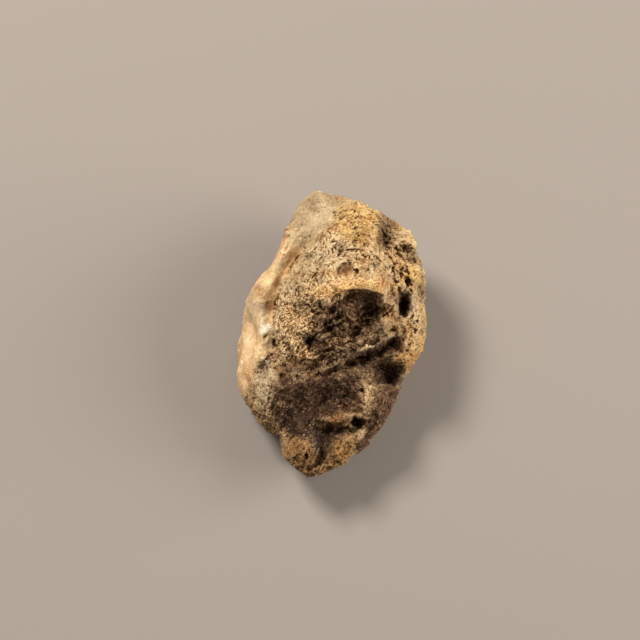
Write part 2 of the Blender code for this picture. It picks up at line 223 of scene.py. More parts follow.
# Colour and wear over the show face. A region is an outline, a spot an ellipse; both have ragged edges.
Region = namedtuple("Region", "outline strength")
Spot = namedtuple("Spot", "centre radii turn strength")
HUMP_OUTLINE = (
    (-4.9, 11.5), (-4.9, 13.8), (-3.6, 16.3), (-1.5, 17.0), (0.3, 16.6), (0.8, 14.9), (-0.1, 12.6),
    (-1.7, 10.6), (-2.9, 9.2), (-4.0, 9.9),
)
UMBER_AND_SHADE = (  # dark broken brown, and partly painted shade: it also darkens the faces that turn down, the skin under the brow, the slot and the pits
    Region((
        (-1.5, 3.2), (-0.1, 4.0), (1.6, 4.5), (3.3, 4.85), (4.9, 4.6), (5.6, 3.8), (5.6, 2.6),
        (5.6, 1.6), (6.2, 0.8), (5.2, -0.2), (3.6, -1.0), (3.4, -2.2), (0.8, -3.4), (-1.6, -3.6),
        (-2.6, -2.0), (-2.3, 0.2), (-2.0, 2.0),
    ), 0.88),
    Region((
        (-5.4, -4.8), (-3.6, -5.3), (-1.5, -4.8), (0.5, -4.1), (2.4, -3.3), (3.1, -5.5), (3.7, -7.6),
        (3.5, -9.0), (1.6, -9.5), (-0.4, -9.9), (-1.6, -10.4), (0.2, -11.2), (-1.2, -12.0),
        (-2.6, -12.2), (-4.4, -12.5), (-5.8, -11.4), (-6.8, -9.4), (-7.0, -7.4), (-6.7, -5.8),
        (-6.0, -4.8),
    ), 1.0),
    Region((
        (-5.7, -3.5), (-3.4, -2.9), (-2.0, -2.5), (0.3, -2.9), (0.3, -4.0), (-1.5, -4.7), (-3.6, -5.2),
        (-5.6, -4.8),
    ), 0.75),
    Region((
        (1.7, -3.2), (3.1, -2.3), (4.9, -1.4), (7.0, -0.6), (7.8, -1.3), (7.5, -2.3), (5.4, -3.4),
        (3.3, -4.6), (2.4, -4.6),
    ), 1.0),
    Region(
        ((5.1, -3.7), (6.3, -3.2), (7.9, -3.7), (8.6, -4.8), (7.7, -6.2), (5.9, -6.6), (4.5, -5.5)),
        1.0,
    ),
    Region((
        (4.7, -6.9), (6.2, -6.3), (8.4, -5.6), (9.3, -6.6), (8.0, -9.5), (6.5, -12.0), (4.5, -14.6),
        (2.7, -14.6), (2.9, -12.6), (4.2, -11.0), (4.7, -9.2),
    ), 1.0),
    Region((
        (-4.9, -12.4), (-1.5, -10.4), (2.6, -10.4), (4.0, -12.0), (2.6, -15.4), (-1.2, -17.2),
        (-5.0, -15.6),
    ), 0.48),
    Region((
        (-2.6, -12.4), (-1.0, -10.6), (1.6, -10.6), (2.2, -11.8), (0.3, -12.4), (0.0, -14.1),
        (-0.8, -15.4), (-2.4, -15.4), (-1.5, -13.8),
    ), 0.9),
    # Painted shade in the slot and in the band, face, crown, round-hole and ridge pits; the spot at (6.4,
    # 12.2) is a painted cast shadow.
    Spot((8.3, 3.1), (0.9, 1.3), 4, 1.0),
    Spot((6.4, 12.2), (1.3, 2.4), -10, 0.65),
    Spot((9.1, 8.8), (1.5, 0.8), -38, 0.5),
    Spot((10.4, 4.5), (0.6, 1.2), 0, 0.5),
    Spot((-2.3, -1.0), (0.6, 0.6), 0, 0.9),
    Spot((1.0, 9.5), (0.5, 0.5), 0, 0.6),
    Spot((3.0, -10.3), (0.8, 0.8), 0, 1.0),
    Spot((-7.9, -4.1), (0.6, 0.8), 0, 0.5),
    Spot((-3.2, -2.4), (2.2, 1.8), 10, 0.2),
    Spot((3.3, -4.9), (1.2, 0.8), 0, 0.8),
    Spot((0.6, -9.8), (2.4, 0.8), 0, 0.45),
    # Painted shade on the crown dimple's upper-left wall.
    Spot((1.5, 7.15), (0.7, 0.45), 20, 0.7),
    Spot((-2.8, 3.1), (1.2, 0.9), 0, 0.75),
    Spot((-4.2, -0.2), (1.2, 0.6), 15, 0.35),
    Spot((-0.6, -11.4), (2.6, 0.7), 0, 0.8),
    Spot((-7.4, -11.2), (3.2, 1.4), -46, 0.4),
    Spot((0.6, -2.9), (4.0, 1.5), 18, 0.75),
    Spot((-3.8, -10.9), (2.4, 1.3), -20, 0.95),
    Spot((-1.9, -15.2), (1.6, 0.5), 8, 0.7),
    Spot((-3.1, -13.1), (0.5, 0.4), 0, 0.5),
    Spot((-1.6, -12.3), (4.2, 0.6), -4, 0.8),
)
OCHRE = (  # yellow weathering crust
    Region((
        (0.5, 14.5), (2.2, 14.7), (4.3, 14.3), (5.4, 12.6), (5.2, 10.6), (3.6, 9.9), (1.7, 10.3),
        (0.6, 12.0),
    ), 0.6),
    Region((
        (-1.3, 3.9), (0.3, 5.3), (2.0, 6.1), (4.0, 6.0), (5.4, 5.1), (6.3, 3.9), (5.2, 4.5), (3.6, 4.8),
        (1.7, 4.5), (-0.1, 4.0),
    ), 0.55),
    Spot((2.6, 4.9), (2.8, 0.35), 4, 1.0),
    Region((
        (0.3, -12.0), (1.7, -11.8), (2.7, -12.7), (2.6, -14.3), (1.0, -15.4), (-0.3, -15.6),
        (0.1, -13.8),
    ), 1.0),
    Spot((-3.7, -13.3), (1.4, 1.4), 0, 0.55),
    Region(((8.4, 7.6), (10.0, 6.8), (10.6, 5.6), (9.6, 4.6), (8.6, 5.0), (8.0, 6.2)), 0.6),
    Spot((-2.2, 0.9), (0.9, 1.1), 0, 0.9),
    Spot((-3.9, 0.4), (1.9, 3.6), 0, 0.5),
    Spot((-3.6, -1.9), (1.3, 0.7), 25, 0.9),
    Spot((-3.4, -2.6), (1.6, 1.2), 20, 0.6),
    Spot((9.8, -1.8), (1.2, 1.8), 0, 0.5),
    Spot((-1.0, -9.6), (1.4, 0.4), 0, 0.5),
    Spot((-2.0, -5.0), (1.6, 0.5), 10, 0.6),
)
RUST = (  # orange oxide stain
    Region((
        (-5.4, -12.8), (-3.4, -12.4), (-2.1, -12.9), (-1.7, -14.3), (-2.4, -15.8), (-3.8, -16.4),
        (-4.9, -14.8),
    ), 0.7),
    Spot((5.8, 5.9), (0.6, 0.8), -30, 0.9),
    Spot((1.2, 7.2), (0.7, 0.5), 20, 0.8),
    Spot((2.0, 4.4), (3.6, 0.3), 6, 0.7),
    Spot((0.8, -10.1), (2.0, 0.6), 6, 1.0),
    Spot((3.4, -9.8), (1.0, 1.0), 0, 0.6),
    Spot((1.2, -13.2), (1.0, 1.4), 0, 0.7),
    Spot((-1.0, -15.4), (3.6, 1.2), 10, 0.6),
    Spot((-6.6, -11.6), (2.6, 0.9), -46, 0.4),
    Spot((6.6, 2.2), (0.5, 1.6), 6, 0.6),
    Spot((8.7, -2.9), (1.5, 1.3), 0, 0.7),
    Spot((-3.0, 0.5), (2.4, 3.0), 0, 0.25),
    Spot((2.0, 1.0), (4.0, 2.6), 20, 0.3),
    Spot((-3.4, -3.4), (2.4, 0.9), 14, 0.5),
)
ASH = (  # cool grey-tan rind
    Region((
        (-8.4, -3.2), (-6.8, -2.3), (-5.4, -3.7), (-5.4, -4.8), (-6.8, -6.2), (-6.9, -8.4),
        (-7.7, -9.2), (-9.1, -7.8), (-9.3, -6.0),
    ), 0.3),
    Spot((-1.9, 7.8), (1.8, 1.2), 40, 0.5),
    Region(HUMP_OUTLINE, 1.0),
    Spot((-8.4, 3.2), (1.5, 2.4), 0, 0.5),
    Spot((-5.6, 8.8), (1.2, 2.8), -35, 0.45),
    Spot((5.0, 7.5), (0.7, 0.6), 0, 0.8),
    Spot((-1.0, 6.0), (0.45, 0.4), 0, 0.8),
    Spot((6.4, 7.7), (0.4, 0.6), 0, 0.6),
    Spot((-7.2, -1.3), (0.8, 0.9), 0, 0.6),
)
CREAM = (  # palest, chalky skin
    Region((
        (-11.4, -6.9), (-11.6, -2.1), (-10.5, 2.5), (-9.1, 4.0), (-7.6, 3.0), (-6.6, 1.0), (-6.4, -1.2),
        (-7.4, -2.4), (-8.8, -3.4), (-9.4, -5.6), (-10.4, -7.4),
    ), 0.55),
    Spot((-7.6, -5.0), (1.3, 3.2), 0, 0.6),
    Spot((-7.4, 0.4), (1.5, 0.9), 25, 1.0),
    Spot((6.4, 4.2), (0.5, 0.5), 0, 0.6),
    Spot((2.8, -2.7), (2.8, 0.35), 24, 0.5),
    Spot((4.2, -0.4), (2.8, 0.35), 36, 0.5),
    Spot((2.0, 5.6), (2.4, 0.6), 4, 0.35),
    Spot((2.3, 6.1), (1.0, 0.45), 10, 0.7),
    Spot((-4.6, 1.4), (1.7, 4.4), 4, 0.7),
    Spot((9.4, 3.6), (0.6, 1.6), 0, 0.4),
    Spot((3.9, -7.2), (0.35, 1.6), 10, 0.4),
    Spot((0.4, 9.0), (2.8, 1.6), 0, 0.6),
)
WORN = (  # rubbed smooth, with few pores left
    Region((
        (-5.5, 11.0), (-3.8, 10.2), (-3.3, 9.2), (-4.6, 7.6), (-5.6, 5.5), (-6.25, 3.8), (-6.55, 1.6),
        (-6.5, -0.3), (-6.6, -2.0), (-7.4, -2.6), (-8.8, -4.2), (-9.6, -6.4), (-10.5, -7.6),
        (-11.4, -6.9), (-11.6, -2.1), (-10.5, 2.5), (-9.1, 6.0), (-7.0, 8.0),
    ), 1.0),
    Region(HUMP_OUTLINE, 0.9),
    Spot((2.2, 5.4), (2.8, 0.7), 4, 0.35),
    Spot((1.85, 6.8), (0.9, 0.75), 10, 0.8),
)
COARSE = (  # the coarsest grit
    Region((
        (-6.1, 4.6), (-3.5, 4.8), (-1.5, 3.8), (0.5, 4.0), (5.4, 3.8), (5.8, -0.6), (0.0, -3.6),
        (-5.4, -3.3), (-6.4, 0.0),
    ), 1.0),
)
PAINTED_SHADE = (  # painted shade: near-black colour put on the toe top, the dark face, the alcove, the slot and the hollows, where the stone lies in its deepest shade
    Region((
        (-2.9, -11.2), (-1.4, -10.7), (1.8, -10.9), (1.6, -11.6), (0.4, -12.2), (0.0, -13.4),
        (-0.8, -14.4), (-1.9, -14.0), (-1.9, -12.8), (-2.8, -12.0),
    ), 1.0),
    Region((
        (-5.6, -4.8), (-3.0, -5.0), (0.3, -4.2), (3.0, -3.4), (5.0, -2.6), (7.2, -2.0), (8.0, -3.4),
        (7.6, -6.0), (5.0, -6.4), (4.2, -4.8), (2.8, -4.4), (2.4, -6.4), (-2.0, -6.9), (-5.6, -6.6),
    ), 0.4),
    Spot((5.7, -0.9), (1.3, 0.8), 30, 0.45),
    Spot((-3.7, -10.5), (2.3, 1.5), -20, 0.85),
    Spot((-2.2, -8.2), (3.8, 2.2), 0, 0.4),
    Spot((6.2, -8.6), (2.0, 3.6), -25, 0.25),
    Spot((4.3, 2.7), (1.1, 0.8), 14, 0.6),
    Spot((2.9, 0.2), (0.9, 0.6), 15, 0.5),
    Spot((6.7, -5.1), (1.5, 1.4), 0, 0.6),
    Spot((8.2, 3.0), (0.6, 0.9), 0, 0.5),
)
ZONES = {
    "coarse": COARSE,
    "umber_and_shade": UMBER_AND_SHADE,
    "ochre": OCHRE,
    "rust": RUST,
    "ash": ASH,
    "cream": CREAM,
    "worn": WORN,
    "char": PAINTED_SHADE,
}

# How wide a zone's edge fades, how far it wanders and over what waves, in mm. Worn skin ends more
# sharply, and its edge wanders as a form's line does.
ZONE_EDGE = 0.8
WORN_EDGE = 0.3
BROAD_FRAY = 0.55
FINE_FRAY = 0.22
BROAD_FRAY_WAVE = 1.3
FINE_FRAY_WAVE = 0.35
LINE_SHIFT = 0.22
LINE_WAVE = 1.1

# Waves of the patches of colour behind the show face, in mm, and their most weight.
PATCH_WAVE = 4.0
MOST_BEHIND = 0.8

# How deep below the origin the show face's forms and colours reach, and how fast they fade there, in mm.
FORM_DEPTH = 6.5
COLOUR_DEPTH = 8.5
FACE_FADE = 3.0

# A step's crest is full this far from its line, in mm. A hollow reaches this many of its own radii.
CREST_RUN = 0.18
HOLLOW_REACH = 1.3

# Rounds of averaging that tell fine hollows and broad ones from the skin round them.
HOLLOW_ROUNDS = {"hollow_fine": 6, "hollow_broad": 60}


def size(name, description, default, least=0.0):
    """A size in millimetres."""
    return FloatProperty(name=name, description=description, default=default, min=least)


def tint(name, description, default):
    """A colour."""
    return FloatVectorProperty(
        name=name, description=description, subtype="COLOR", default=default, min=0, max=1
    )


class MeteoriteStoneSettings(PropertyGroup):
    """Sizes and colours of the weathered skin."""

    cell_size: size("Cell size", "Width of the larger pores, in mm", 0.8, 0.2)
    cell_depth: size("Cell depth", "Depth of the larger pores, in mm", 0.35)
    pore_size: size("Pore size", "Width of the fine pores, in mm", 0.38, 0.1)
    pore_depth: size("Pore depth", "Depth of the fine pores, in mm", 0.2)
    chip_height: size("Chip height", "Height of the flat chips, in mm", 0.17)
    grain_height: size("Grain height", "Height of the round grains, in mm", 0.16)
    crust_height: size("Crust height", "Height of the rough crust, in mm", 0.8)
    lump_height: size("Lump height", "Height of the uneven lumps, in mm", 0.4)
    ledge_spacing: size("Ledge spacing", "From layer to layer, in mm", 0.7, 0.1)
    ledge_depth: size("Ledge depth", "Step between eroded layers, in mm", 0.2)
    seed: IntProperty(name="Seed", description="Picks another arrangement of pores", default=3)
    chalk: tint("Chalk", "Palest skin", (0.92, 0.69, 0.38))
    buff: tint("Buff", "Common weathered skin", (0.68, 0.42, 0.19))
    cream: tint("Cream", "Chalky worn skin", (0.93, 0.74, 0.49))
    ochre: tint("Ochre", "Yellow crust", (0.86, 0.54, 0.16))
    rust: tint("Rust", "Oxide stain", (0.52, 0.22, 0.06))
    # Umber is the broken interior's brown, and it also serves as painted shade.
    umber_and_shade: tint("Umber", "Broken interior", (0.145, 0.061, 0.032))
    # Painted shade: the near-black colour of the char zone, not a crust of the stone.
    char: tint("Char", "Blackened crust", (0.045, 0.025, 0.018))
    white: tint("White", "Bare white mineral", (0.97, 0.9, 0.74))
    ash: tint("Ash", "Grey rind", (0.44, 0.34, 0.215))
    # The pore colour is also the painted shade in pits, pores, creases and hollows.
    pore: tint("Pore", "Inside of the pores", (0.098, 0.038, 0.01))


class MeteoriteStageSettings(PropertyGroup):
    """Floor and light of the stage."""

    floor_colour: tint("Floor", "Colour of the floor", (0.255, 0.225, 0.20))
    key_power: FloatProperty(
        name="Key power", description="Power of the main light, in watts", default=2.22, min=0
    )
    fill_power: FloatProperty(
        name="Fill power", description="Power of the soft fill light, in watts", default=2.4, min=0
    )
    sky_strength: FloatProperty(
        name="Sky strength", description="Strength of the even surrounding light", default=0.30, min=0
    )


# -------------------- mesh helpers


def read_points(mesh):
    points = np.empty(len(mesh.vertices) * 3)
    mesh.vertices.foreach_get("co", points)
    return points.reshape(-1, 3)


def read_normals(mesh):
    normals = np.empty(len(mesh.vertices) * 3)
    mesh.vertex_normals.foreach_get("vector", normals)
    return normals.reshape(-1, 3)


def write_points(mesh, points):
    mesh.vertices.foreach_set("co", points.ravel())
    mesh.update()


def store(mesh, name, values):
    """Keeps one number for each point of the mesh, under a name."""
    layer = mesh.attributes.get(name) or mesh.attributes.new(name, "FLOAT", "POINT")
    layer.data.foreach_set("value", np.asarray(values, np.float32))


def read_weight(mesh, name):
    values = np.empty(len(mesh.vertices), np.float32)
    mesh.attributes[name].data.foreach_get("value", values)
    return values


def apply_modifiers(mesh, modifiers, name):
    """The mesh after a list of (type, settings), as a new plain mesh."""
    body = bpy.data.objects.new(name, mesh)
    bpy.context.scene.collection.objects.link(body)
    for kind, settings in modifiers:
        modifier = body.modifiers.new(kind.lower(), kind)
        for key, value in settings.items():
            setattr(modifier, key, value)
    graph = bpy.context.evaluated_depsgraph_get()
    result = bpy.data.meshes.new_from_object(body.evaluated_get(graph), depsgraph=graph)
    bpy.data.objects.remove(body)
    bpy.data.meshes.remove(mesh)
    result.name = name
    return result


def neighbour_mean(mesh, values, rounds):
    """Values averaged with their neighbours along the mesh's edges, over and over."""
    ends = np.empty(len(mesh.edges) * 2, int)
    mesh.edges.foreach_get("vertices", ends)
    first, second = ends[0::2], ends[1::2]
    count = len(mesh.vertices)
    share = np.bincount(first, minlength=count) + np.bincount(second, minlength=count)
    share = np.maximum(share, 1)
    values = values.copy()
    for _ in range(rounds):
        for axis in range(values.shape[1]):
            column = values[:, axis]
            total = np.bincount(first, column[second], count) + np.bincount(second, column[first], count)
            values[:, axis] = total / share
    return values


def stone_copy():
    """The solid stone as one joined mesh, in its face frame."""
    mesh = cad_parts["meteorite_fragment"].data.copy()
    shape = bmesh.new()
    shape.from_mesh(mesh)
    bmesh.ops.remove_doubles(shape, verts=shape.verts, dist=1e-7)
    shape.transform(WORLD_TO_FACE)
    shape.to_mesh(mesh)
    shape.free()
    mesh.attributes.active_color = None
    mesh.materials.clear()
    return mesh


def line_offsets(points, line):
    """How far each point lies from a line, and on which side: 1 on its left, -1 on its right."""
    nearest = np.full(len(points), np.inf)
    side = np.zeros(len(points))
    for start, end in zip(np.array(line[:-1]), np.array(line[1:])):
        run = end - start
        share = np.clip((points - start) @ run / (run @ run), 0, 1)
        away = points - (start + share[:, None] * run)
        distance = np.hypot(away[:, 0], away[:, 1])
        closer = distance < nearest
        nearest[closer] = distance[closer]
        side[closer] = np.sign(run[0] * away[closer, 1] - run[1] * away[closer, 0])
    return nearest, side


def show_face(mesh, depth):
    """1 on the show face, down to a depth, and 0 behind it."""
    height, lean = read_points(mesh)[:, 2], read_normals(mesh)[:, 2]
    return np.clip((height + depth) / FACE_FADE, 0, 1) * np.clip(lean * 2.5 + 0.9, 0, 1)


def ragged_shift(points):
    """How far a line's edge wanders at each point, in mm."""
    flat = points * (1, 1, 0)
    return LINE_SHIFT * np.column_stack([wandering(flat, LINE_WAVE, seed) for seed in (11, 12)])


def carve_forms(mesh):
    """Cuts the steps, grooves, ridges and hollows of the show face, straight in along the sight line."""
    points = read_points(mesh)
    place = points[:, :2] + ragged_shift(points)
    rise = np.zeros(len(points))
    for step in STEPS:
        distance, side = line_offsets(place, step.line)
        crest = np.where(side > 0, step.rise, -step.drop) * np.clip(distance / CREST_RUN, 0, 1)
        rise += crest * np.exp(-((distance / step.reach) ** 2))
    for stroke in STROKES:
        distance, _ = line_offsets(place, stroke.line)
        rise += stroke.height * np.exp(-((distance / stroke.width) ** 2))
    for hollow in HOLLOWS:
        reach = ellipse_reach(place, hollow)
        rise -= hollow.depth * np.clip(HOLLOW_REACH - reach, 0, 1) ** 0.8
    points[:, 2] += rise * show_face(mesh, FORM_DEPTH)
    write_points(mesh, points)


def ellipse_reach(place, ellipse):
    """How far out each point lies in an ellipse: 0 at its centre, 1 on its edge."""
    turn = math.radians(ellipse.turn)
    away = place - ellipse.centre
    along = away @ (math.cos(turn), math.sin(turn)) / ellipse.radii[0]
    across = away @ (-math.sin(turn), math.cos(turn)) / ellipse.radii[1]
    return np.hypot(along, across)


def dense_skin():
    """The stone's skin with its facets eased and its forms cut crisp, fine enough to carry pores."""
    ease = [
        ("SUBSURF", {"levels": 1, "render_levels": 1}),
        ("REMESH", {"mode": "VOXEL", "voxel_size": WORKING_VOXEL}),
        ("SMOOTH", {"factor": 0.5, "iterations": 2}),
    ]
    mesh = apply_modifiers(stone_copy(), ease, "dense_skin")
    carve_forms(mesh)
    even = [
        ("REMESH", {"mode": "VOXEL", "voxel_size": SKIN_VOXEL}),
        ("SMOOTH", {"factor": 0.5, "iterations": 2}),
    ]
    return apply_modifiers(mesh, even, "dense_skin")


def sharpen(mesh):
    """Brings out the edges and creases of the rough skin, and rubs the worn skin smooth."""
    points, normals = read_points(mesh), read_normals(mesh)
    hollow = np.einsum("ij,ij->i", neighbour_mean(mesh, points, CRISP_ROUNDS) - points, normals)
    worn = read_weight(mesh, "worn")
    amount = CRISP * (1 - worn) - WEAR * worn
    write_points(mesh, points - normals * (amount * np.clip(hollow, *CRISP_LIMITS))[:, None])


def thinned(mesh):
    """The same skin in no more triangles than one piece may have."""
    triangles = sum(len(polygon.vertices) - 2 for polygon in mesh.polygons)
    steps = [("DECIMATE", {"ratio": min(1, SKIN_TRIANGLES / triangles)})]
    return apply_modifiers(mesh, steps, "thinned_skin")


# -------------------- colour zones


def wandering(points, wavelength, seed):
    """Smooth noise from about -1 to 1 at each point."""
    offset = Vector((seed * 17.3, seed * 5.1, -seed * 9.7))
    return np.array([noise.noise(Vector(point) / wavelength + offset) for point in points])


def signed_distance(place, outline):
    """How far each point lies outside an outline, negative inside it."""
    closed = (*outline, outline[0])
    distance, _ = line_offsets(place, closed)
    inside = np.zeros(len(place), bool)
    across, up = place.T
    for (x0, y0), (x1, y1) in zip(closed, closed[1:]):
        crosses = (y0 > up) != (y1 > up)
        inside ^= crosses & (across < x0 + (up - y0) * (x1 - x0) / ((y1 - y0) or 1e-9))
    return np.where(inside, -distance, distance)


def zone_weight(place, zone, edge):
    """How strongly each point belongs to a family of regions and spots, 0 to 1."""
    weight = np.zeros(len(place))
    for part in zone:
        if isinstance(part, Region):
            outside = signed_distance(place, part.outline)
        else:
            outside = (ellipse_reach(place, part) - 1) * min(part.radii)
        weight = np.maximum(weight, part.strength * np.clip(0.5 - outside / edge, 0, 1))
    return weight


def paint_zones(mesh):
    """Stores a weight for each zone. Behind the show face all but the painted shade follow wandering
    patches.
    """
    points = read_points(mesh)
    facing = show_face(mesh, COLOUR_DEPTH)
    broad = np.column_stack([wandering(points, BROAD_FRAY_WAVE, seed) for seed in (1, 2)])
    fine = np.column_stack([wandering(points, FINE_FRAY_WAVE, seed) for seed in (3, 4)])
    ragged = ragged_shift(points)
    for seed, (name, zone) in enumerate(ZONES.items(), start=4):
        crisp = name == "worn"
        place = points[:, :2] + (ragged if crisp else BROAD_FRAY * broad + FINE_FRAY * fine)
        behind = np.clip(wandering(points, PATCH_WAVE, seed) * 2.2 - 0.1, 0, MOST_BEHIND)
        here = zone_weight(place, zone, WORN_EDGE if crisp else ZONE_EDGE)
        store(mesh, name, facing * here + (1 - facing) * behind * (name != "char"))


# -------------------- geometry nodes


# The relief's inputs and the setting that each one takes.
RELIEF_INPUTS = {
    "Cell Size": "cell_size",
    "Cell Depth": "cell_depth",
    "Pore Size": "pore_size",
    "Pore Depth": "pore_depth",
    "Chip Height": "chip_height",
    "Grain Height": "grain_height",
    "Crust Height": "crust_height",
    "Lump Height": "lump_height",
    "Ledge Spacing": "ledge_spacing",
    "Ledge Depth": "ledge_depth",
    "Seed": "seed",
}

# Middle of the crown's rings, and the way up through the slanting layers and through the slanting grains.
RING_CENTRE = (2.7, 5.7, 2.5)
LAYER_RISE = (0.80, -0.52, 0.30)
GRAIN_RISE = (-0.5, 0.85, 0.18)
LAYER_SQUEEZE = 0.4
GRAIN_SQUEEZE = 0.7

# How many waves or cells of each pattern lie in a millimetre, and how far the swaying ones move, in mm.
BROAD_SWAY_SCALE = 0.8
BROAD_SWAY = 0.9
FINE_SWAY_SCALE = 2.6
FINE_SWAY = 0.35
CHIP_SCALES = (0.9, 2.1)
GRAIN_SCALES = (1.9, 3.2)
PAINT_SWAY_SCALE = 1.4
PAINT_SWAY = 0.5
SPECK_SCALE = 1.8
FLECK_SCALE = 4.8
LOT_SCALE = 4.2
CRUMB_SCALE = 7.0
PIT_SCALE = 2.7
GLINT_SCALE = 2.2

# Depth of the finest grit, in mm.
BUMP_DEPTH = 0.15

# A pore fills this share of its cell. The finest layers are this share of the ledge spacing.
PORE_FILL = 0.7
LEAF_SHARE = 0.43

# The darker tone of a colour: its gamma and its tint, and a further tint on bare coarse skin.
DEEP_GAMMA = 2.2
DEEP_TINT = (0.60, 0.54, 0.42)
BARE_DEEP_TINT = (0.78, 0.52, 0.24)


class Nodes:
    """Adds nodes to a tree and joins them, so that a formula reads from left to right."""

    def __init__(self, tree):
        self.tree = tree

    def add(self, kind, inputs=(), output=0, **settings):
        node = self.tree.nodes.new(kind)
        for key, value in settings.items():
            setattr(node, key, value)
        for key, value in dict(inputs).items():
            socket = node.inputs[key]
            if isinstance(value, bpy.types.NodeSocket):
                self.tree.links.new(value, socket)
            else:
                socket.default_value = value
        return node.outputs[output]

    def math(self, operation, first, second=0.0, third=0.0):
        return self.add("ShaderNodeMath", {0: first, 1: second, 2: third}, operation=operation)

    def times(self, first, *factors):
        """The product of some values, multiplied from left to right."""
        for factor in factors:
            first = self.math("MULTIPLY", first, factor)
        return first

    def plus(self, base, value, factor):
        """base + value * factor."""
        return self.math("MULTIPLY_ADD", value, factor, base)

    def larger(self, first, second):
        return self.math("MAXIMUM", first, second)

    def vector(self, operation, first, second=(0, 0, 0)):
        place = "Scale" if operation == "SCALE" else 1
        return self.add("ShaderNodeVectorMath", {0: first, place: second}, operation=operation)

    def dot(self, first, second):
        return self.add("ShaderNodeVectorMath", {0: first, 1: second}, "Value", operation="DOT_PRODUCT")

    def fixed(self, direction):
        """A fixed vector."""
        return self.add("ShaderNodeCombineXYZ", dict(enumerate(direction)))

    def ramp(self, value, low, high, start=0.0, end=1.0):
        """Eases from start to end as the value goes from low to high."""
        settings = {"Value": value, "From Min": low, "From Max": high, "To Min": start, "To Max": end}
        return self.add("ShaderNodeMapRange", settings, interpolation_type="SMOOTHSTEP")

    def noise(self, position, scale, detail=3.0, roughness=0.5, output=0):
        settings = {"Vector": position, "Scale": scale, "Detail": detail, "Roughness": roughness}
        return self.add("ShaderNodeTexNoise", settings, output, noise_dimensions="3D")

    def ripple(self, position, scale, detail=3.0, roughness=0.5):
        """Noise about 0."""
        return self.math("SUBTRACT", self.noise(position, scale, detail, roughness), 0.5)

    def sway(self, position, scale, detail):
        """Vector noise about 0."""
        return self.vector("SUBTRACT", self.noise(position, scale, detail, output=1), (0.5, 0.5, 0.5))

    def cells(self, position, scale, output="Distance"):
        """A pattern of cells: how far each point is from its cell's middle, or another output."""
        settings = {"Vector": position, "Scale": scale}
        return self.add("ShaderNodeTexVoronoi", settings, output, feature="F1")

    def lot(self, position, scale):
        """A number of its own, from 0 to 1, for each cell of a pattern."""
        return self.dot(self.cells(position, scale, "Color"), (1, 0, 0))


def new_input(tree, name, kind="NodeSocketFloat"):
    return tree.interface.new_socket(name, in_out="INPUT", socket_type=kind)


# How a point of the skin lies in its layers: its offset and distance from the crown's middle, its height
# in the slanting set, and how far it has passed from the rings to that set.
Layers = namedtuple("Layers", "from_crown rings slant leftness")


